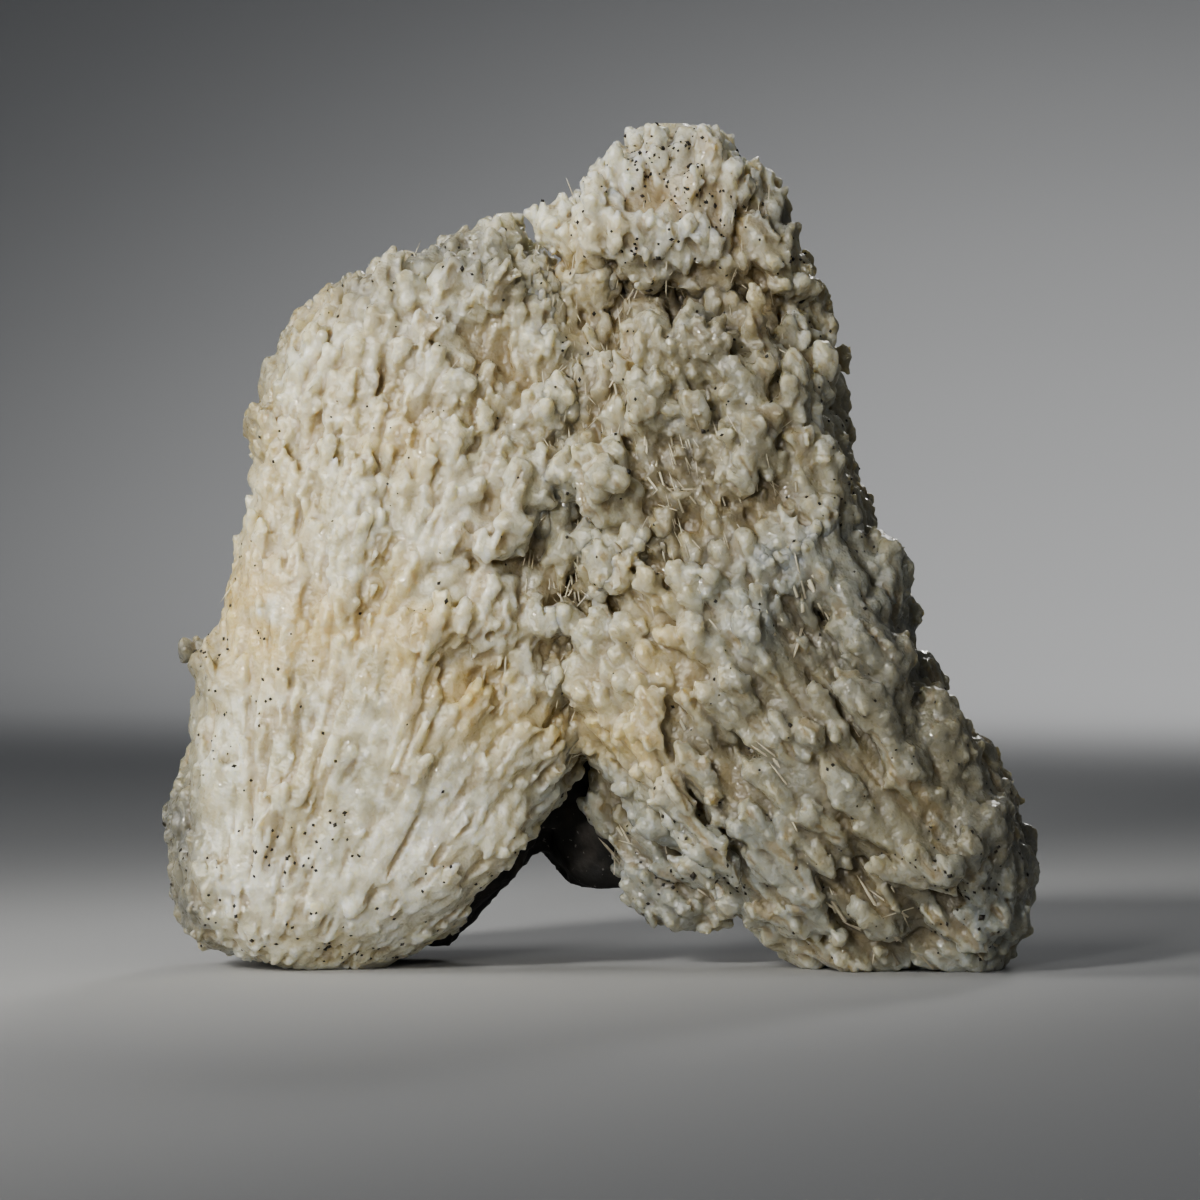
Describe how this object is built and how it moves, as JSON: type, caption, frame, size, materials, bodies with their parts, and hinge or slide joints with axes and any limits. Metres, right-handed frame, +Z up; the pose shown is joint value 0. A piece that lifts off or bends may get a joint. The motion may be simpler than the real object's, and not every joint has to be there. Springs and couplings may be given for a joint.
{
  "type": "calcite specimen",
  "caption": "Rough white calcite specimen that stands on two legs like an upside-down V: sheaves of blunt calcite stalks grown over a plate of dark rock.",
  "frame": {"origin": "middle of the specimen's box at the surface that both feet rest on", "axes": "+X across both feet towards the slanting right leg, +Y to the rough back with the rock plate, +Z up to the head"},
  "size_m": [0.1176, 0.0604, 0.1132],
  "materials": {
    "calcite": "waxy, translucent, with sharp glints",
    "rock": "dull and broken"
  },
  "bodies": {
    "root": {"calcite_sheaves": "calcite", "matrix_rock": "rock"}
  },
  "joints": []
}
